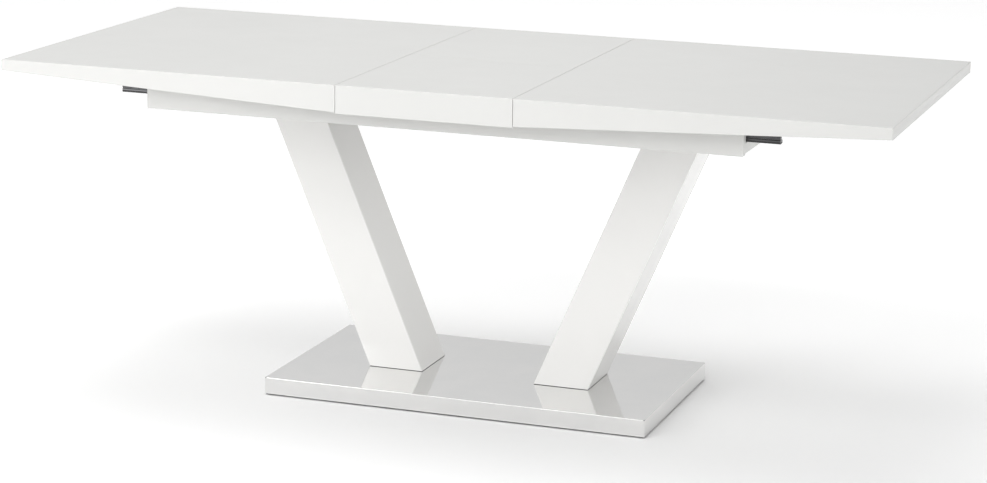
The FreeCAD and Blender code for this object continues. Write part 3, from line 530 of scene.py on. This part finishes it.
def build_leaf_half(name, depth):
    """Half of the leaf with the edge band under its long edge, lacquered as one."""
    panel_low, panel_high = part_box(f"leaf_panel_{name}")
    band_low, band_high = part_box(f"leaf_band_{name}")
    out_y = panel_low.y if depth < 0 else panel_high.y
    mid_y = panel_high.y if depth < 0 else panel_low.y
    in_y = band_high.y if depth < 0 else band_low.y
    top, under, bottom = panel_high.z, panel_low.z, band_low.z

    def outline(x):
        return [(x, out_y, bottom), (x, in_y, bottom), (x, in_y, under),
                (x, mid_y, under), (x, mid_y, top), (x, out_y, top)]

    def round_of(a, b):
        middle = (a + b) / 2
        on_top = same(middle.z, top)
        on_side = same(middle.y, out_y)
        at_fold = same(middle.y, mid_y)
        if on_side and same(a.z, b.z):
            return TOP_EDGE_ROUND if on_top else UNDER_EDGE_ROUND
        if on_top and at_fold:
            return FOLD_EDGE_ROUND
        return SEAM_EDGE_ROUND if on_top or on_side or at_fold else 0

    form = prism(outline(panel_low.x + SEAM_INSET), outline(panel_high.x - SEAM_INSET))
    weigh_edges(form, TOP_EDGE_ROUND, round_of)
    piece = new_piece(f"leaf_half_{name}", form, "top_lacquer")
    round_weighted(piece, TOP_EDGE_ROUND, TOP_ROUND_STEPS)
    bore_for_housings(piece, name, depth)
    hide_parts(f"leaf_panel_{name}", f"leaf_band_{name}")
    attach(piece, f"leaf_{name}")


def housing_bores(name, depth):
    """Round cutters on the leaf's middle edge, a little wider than the hinge housings."""
    low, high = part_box(f"hinge_barrels_{name}")
    radius = (high.z - low.z) / 2
    spacing = (high.x - low.x - 2 * radius) / (HOUSING_COUNT - 1)
    length = high.y - low.y
    fold_y = high.y if depth < 0 else low.y
    form = bmesh.new()
    for i in range(HOUSING_COUNT):
        centre = (low.x + radius + i * spacing, fold_y, (low.z + high.z) / 2)
        turned = Matrix.Translation(centre) @ Matrix.Rotation(math.radians(90), 4, "X")
        bmesh.ops.create_cone(form, cap_ends=True, segments=HOUSING_SEGMENTS,
                              radius1=radius + HOUSING_CLEARANCE,
                              radius2=radius + HOUSING_CLEARANCE,
                              depth=2 * length, matrix=turned)
    return form


def bore_for_housings(piece, name, depth):
    """Cuts the bores for the hinge housings into the leaf's middle edge."""
    cutter = new_piece(f"bores_{name}", housing_bores(name, depth), "raw_board")
    cut = piece.modifiers.new("bores", "BOOLEAN")
    cut.object = cutter
    cut.operation = "DIFFERENCE"
    cut.solver = "EXACT"
    apply_modifiers(piece)
    bpy.data.objects.remove(cutter)


# ---------------------------------------------------------------- posts


def build_post(name, side):
    """Leaning box post with mitred, slightly rounded long edges."""
    low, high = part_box(f"post_{name}")
    gasket_low, gasket_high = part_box(f"post_gasket_{name}")
    # the gasket stands back by the same amount all around the post's foot
    inset = (high.y - low.y - (gasket_high.y - gasket_low.y)) / 2
    foot = (gasket_low.x - inset, gasket_high.x + inset)
    width = foot[1] - foot[0]
    head = (low.x, low.x + width) if side < 0 else (high.x - width, high.x)

    def outline(span, z):
        return [(span[0], low.y, z), (span[1], low.y, z),
                (span[1], high.y, z), (span[0], high.y, z)]

    def round_of(a, b):
        return POST_END_ROUND if same(a.z, b.z) else POST_EDGE_ROUND

    form = prism(outline(foot, low.z), outline(head, high.z))
    weigh_edges(form, POST_EDGE_ROUND, round_of)
    piece = new_piece(f"post_shell_{name}", form, "post_lacquer")
    round_weighted(piece, POST_EDGE_ROUND, POST_ROUND_STEPS)
    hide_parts(f"post_{name}")
    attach(piece, "stand")


# ---------------------------------------------------------------- base


def add_sheet_top(form, half_x, half_y, z):
    """The sheet's flat top. Returns its four folding edges, relieved at the corners."""
    corners = [form.verts.new((sx * half_x, sy * half_y, z)) for sx, sy in CORNERS]
    outline = []
    folds = []
    for i, corner in enumerate(corners):
        following = corners[(i + 1) % len(corners)]
        relief = (following.co - corner.co).normalized() * CORNER_RELIEF
        fold = (form.verts.new(corner.co + relief), form.verts.new(following.co - relief))
        outline.extend((corner, *fold))
        folds.append(fold)
    form.faces.new(outline)
    return folds


def bend_down(form, fold, along):
    """Bends the sheet down over a folding edge. Returns the lower edge of the bend."""
    outward = along.cross(Vector((0, 0, 1)))
    previous = fold
    for step in range(1, FOLD_STEPS + 1):
        angle = math.radians(90) * step / FOLD_STEPS
        shift = outward * (FOLD_RADIUS * math.sin(angle))
        drop = Vector((0, 0, -FOLD_RADIUS * (1 - math.cos(angle))))
        current = tuple(form.verts.new(vertex.co + shift + drop) for vertex in fold)
        form.faces.new((*previous, *reversed(current)))
        previous = current
    return previous


def add_skirt(form, bend, along, bottom):
    """The upright skirt under a bend, reaching out to the slits at its two corners."""
    reach = along * (CORNER_RELIEF + FOLD_RADIUS - CORNER_SLIT)
    drop = Vector((0, 0, -SHOULDER_DROP))
    first, second = bend
    upper = (form.verts.new(first.co - reach + drop), first,
             second, form.verts.new(second.co + reach + drop))
    lower = [form.verts.new((vertex.co.x, vertex.co.y, bottom)) for vertex in upper]
    for i in range(len(upper) - 1):
        form.faces.new((upper[i], upper[i + 1], lower[i + 1], lower[i]))


def build_base_cover():
    """Folded steel sheet: a top with four skirts, relieved and slit at the corners."""
    low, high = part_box("base_cover")
    form = bmesh.new()
    for fold in add_sheet_top(form, high.x - FOLD_RADIUS, high.y - FOLD_RADIUS, high.z):
        along = (fold[1].co - fold[0].co).normalized()
        bend = bend_down(form, fold, along)
        add_skirt(form, bend, along, low.z)
    bmesh.ops.recalc_face_normals(form, faces=form.faces)
    if form.faces[0].normal.z < 0:
        bmesh.ops.reverse_faces(form, faces=form.faces)
    piece = new_piece("base_sheet", form, "polished_steel")
    sheet = piece.modifiers.new("sheet_thickness", "SOLIDIFY")
    sheet.thickness = SHEET_THICKNESS
    sheet.offset = -1
    sheet.use_even_offset = True
    add_face_normals(piece)
    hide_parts("base_cover")
    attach(piece, "stand")


# ---------------------------------------------------------------- frame


def build_board(node, name):
    """A lacquered board with softly rounded edges, in the space of its node."""
    low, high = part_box(node)

    def outline(x):
        return [(x, low.y, low.z), (x, high.y, low.z),
                (x, high.y, high.z), (x, low.y, high.z)]

    form = prism(outline(low.x), outline(high.x))
    weigh_edges(form, BOARD_EDGE_ROUND, lambda a, b: BOARD_EDGE_ROUND)
    piece = new_piece(name, form, "frame_lacquer")
    round_weighted(piece, BOARD_EDGE_ROUND, BOARD_ROUND_STEPS)
    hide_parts(node)
    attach(piece, "stand")


# ---------------------------------------------------------------- slides


def grooved_face():
    """The rail's outer face from its foot up, as depth inward and height."""
    face = []
    for i in range(GROOVE_COUNT):
        low = RAIL_FOOT_HEIGHT + i * GROOVE_PITCH
        high = low + GROOVE_HEIGHT
        face.extend((sunk * GROOVE_DEPTH, low + past) for past, sunk in GROOVE_FLANK)
        face.extend((sunk * GROOVE_DEPTH, high - past) for past, sunk in reversed(GROOVE_FLANK))
    return face


def rail_outline(x, depth, out_y, low_z, high_z):
    """The rail's section: ribbed outer face, foot in the channel, web and flange."""
    height = high_z - low_z
    section = [(0, 0), *grooved_face(), (0, height), (RAIL_FLANGE_DEPTH, height),
               (RAIL_FLANGE_DEPTH, height - RAIL_FLANGE),
               (RAIL_WEB_DEPTH, height - RAIL_FLANGE), (RAIL_WEB_DEPTH, RAIL_FOOT_HEIGHT),
               (RAIL_FOOT_DEPTH, RAIL_FOOT_HEIGHT), (RAIL_FOOT_DEPTH, 0)]
    return [(x, out_y - depth * inward, low_z + up) for inward, up in section]


def build_rail(side_name, depth_name, depth):
    """Extruded rail with rounded ribs along its outer face."""
    node = f"rail_{side_name}_{depth_name}"
    low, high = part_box(node)
    out_y = low.y if depth < 0 else high.y
    outlines = [rail_outline(x, depth, out_y, low.z, high.z) for x in (low.x, high.x)]
    form = prism(*outlines)
    mark_sharp_edges(form)
    piece = new_piece(f"ribbed_{node}", form, "rail_metal")
    add_face_normals(piece)
    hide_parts(node)
    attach(piece, f"top_{side_name}")


# ---------------------------------------------------------------- assembly


def dress_cad_nodes():
    """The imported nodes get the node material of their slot."""
    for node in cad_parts.values():
        slot = node.data.materials[0].name
        for holder in node.material_slots:
            holder.link = "OBJECT"
            holder.material = materials[slot]


for side_name, side in SIDES:
    build_table_half(side_name, side)
    build_post(side_name, side)
    build_board(f"end_board_{side_name}", f"end_rail_{side_name}")
    for depth_name, depth in DEPTHS:
        build_rail(side_name, depth_name, depth)
for depth_name, depth in DEPTHS:
    build_leaf_half(depth_name, depth)
    build_board(f"side_board_{depth_name}", f"side_rail_{depth_name}")
build_base_cover()
dress_cad_nodes()

# ---------------------------------------------------------------- studio

CAMERA_PLACE = (2.02727, -5.84044, 1.77632)
CAMERA_YAW = math.radians(19.079)
CAMERA_PITCH = math.radians(-13.026)
CAMERA_ROLL = math.radians(0.969)
CAMERA_LENS = 101.22
SENSOR_WIDTH = 36
NEAREST_SEEN = 0.1
FARTHEST_SEEN = 200

FLOOR_HALF_SIZE = 60
FLOOR_WHITE = ((0.985, 0.985, 0.985), (0.975, 0.975, 0.975))
# painted glow that the floor gives off as light, by its distance from the table as a share of
# the reach
GLOW_REACH = 5.0
FLOOR_GLOW = ((0.06, 0.0), (0.32, 0.21), (0.64, 0.21), (1.0, 0.42))

# wall light as axis, direction along it and brightness
LOW_WALLS = (("X", 1, 2.8), ("Y", 1, 0.5))
HIGH_WALLS = (("X", -1, 2.5), ("Y", -1, 2.8), ("Y", 1, 0.94))
# how the walls and the ceiling fade with the sine of the height above the horizon
LOW_FADE = ((0.0, 1.0), (0.1, 1.0), (0.45, 0.0), (1.0, 0.0))
HIGH_FADE = ((0.0, 0.0), (0.1, 0.0), (0.45, 1.0), (0.75, 0.0), (1.0, 0.0))
CEILING_FADE = ((0.0, 0.0), (0.45, 0.0), (0.75, 0.2), (1.0, 0.2))
# how sharply a wall's light narrows to the direction straight towards it
WALL_FOCUS = 2.0

# softboxes as name, place, aim, size and watts
SOFTBOXES = (
    ("key_softbox", (-2.6, -4.2, 1.35), (0, 0, 1.35), (1.3, 2.6), 38),
    ("front_overhead_softbox", (-0.6, -3.2, 3.6), (0, 0, 0.4), (3.0, 1.4), 50),
    ("overhead_softbox", (-0.6, 0.6, 4.2), (0, 0, 0.4), (3.6, 2.6), 78),
    ("rear_overhead_softbox", (0, 3.6, 3.4), (0, 0, 0.4), (3.2, 1.6), 9),
)


def add_camera():
    """The camera, placed, aimed and rolled by the values above."""
    data = bpy.data.cameras.new("camera")
    data.sensor_width = SENSOR_WIDTH
    data.lens = CAMERA_LENS
    data.clip_start = NEAREST_SEEN
    data.clip_end = FARTHEST_SEEN
    camera = place_in_scene("camera", data)
    forward = Vector((-math.sin(CAMERA_YAW) * math.cos(CAMERA_PITCH),
                      math.cos(CAMERA_YAW) * math.cos(CAMERA_PITCH),
                      math.sin(CAMERA_PITCH)))
    level = Vector((math.cos(CAMERA_YAW), math.sin(CAMERA_YAW), 0))
    upright = level.cross(forward)
    right = level * math.cos(CAMERA_ROLL) + upright * math.sin(CAMERA_ROLL)
    up = upright * math.cos(CAMERA_ROLL) - level * math.sin(CAMERA_ROLL)
    turn = Matrix((right, up, -forward)).transposed()
    camera.matrix_world = Matrix.Translation(CAMERA_PLACE) @ turn.to_4x4()
    bpy.context.scene.camera = camera


def studio_floor(name):
    """Seamless white studio floor that glows as painted light, brightening away from the table.
    """
    material, tree, main = new_material(name, Roughness=0.9, Specular_IOR_Level=0.1)
    where = place_on(tree)
    scuffs = spread(tree, noise(tree, where, size=0.7, detail=4), 0, 1)
    tone = blend_colours(tree, scuffs, *FLOOR_WHITE)
    tree.links.new(tone, main.inputs["Base Color"])
    away = add_node(tree, "ShaderNodeVectorMath", {0: where}, operation="LENGTH")
    share = combine(tree, "DIVIDE", away.outputs["Value"], GLOW_REACH)
    # the floor gives off light itself: a painted glow, none close to the table
    main.inputs["Emission Color"].default_value = (1, 1, 1, 1)
    tree.links.new(add_ramp(tree, share, FLOOR_GLOW), main.inputs["Emission Strength"])
    bump(tree, main, noise(tree, where, size=0.02, detail=3), 0.0002, strength=0.3)
    return material


def add_floor():
    """A wide flat floor under the table, which is part of the studio."""
    form = bmesh.new()
    form.faces.new([form.verts.new((sx * FLOOR_HALF_SIZE, sy * FLOOR_HALF_SIZE, 0))
                    for sx, sy in CORNERS])
    floor = place_in_scene("floor", mesh_from(form, "floor"))
    floor.data.materials.append(studio_floor("white_studio_floor"))


def add_softbox(name, place, target, size, power):
    """A rectangular light at a place, turned to face its target."""
    data = bpy.data.lights.new(name, "AREA")
    data.shape = "RECTANGLE"
    data.size, data.size_y = size
    data.energy = power
    light = place_in_scene(name, data)
    light.location = place
    aim = Vector(target) - Vector(place)
    light.rotation_euler = aim.to_track_quat("-Z", "Y").to_euler()


def wall_light(tree, parts, walls):
    """Brightness of the walls, each strongest straight towards it."""
    total = 0.0
    for axis, sign, brightness in walls:
        facing = combine(tree, "MAXIMUM", combine(tree, "MULTIPLY", parts[axis], sign), 0.0)
        focused = combine(tree, "POWER", facing, WALL_FOCUS)
        total = combine(tree, "ADD", total, combine(tree, "MULTIPLY", focused, brightness))
    return total


def light_studio():
    """Soft light from the studio's walls and ceiling, and the softboxes."""
    world = bpy.data.worlds.new("studio")
    bpy.context.scene.world = world
    world.use_nodes = True
    tree = world.node_tree
    direction = add_node(tree, "ShaderNodeTexCoord").outputs["Generated"]
    parts = add_node(tree, "ShaderNodeSeparateXYZ", {"Vector": direction}).outputs
    level = add_ramp(tree, parts["Z"], CEILING_FADE)
    for walls, fade in ((LOW_WALLS, LOW_FADE), (HIGH_WALLS, HIGH_FADE)):
        band = combine(tree, "MULTIPLY", wall_light(tree, parts, walls),
                       add_ramp(tree, parts["Z"], fade))
        level = combine(tree, "ADD", level, band)
    background = tree.nodes["Background"]
    tree.links.new(level, background.inputs["Strength"])
    background.inputs["Color"].default_value = (1, 1, 1, 1)
    for softbox in SOFTBOXES:
        add_softbox(*softbox)


add_camera()
add_floor()
light_studio()
bpy.context.scene.view_settings.view_transform = "Standard"
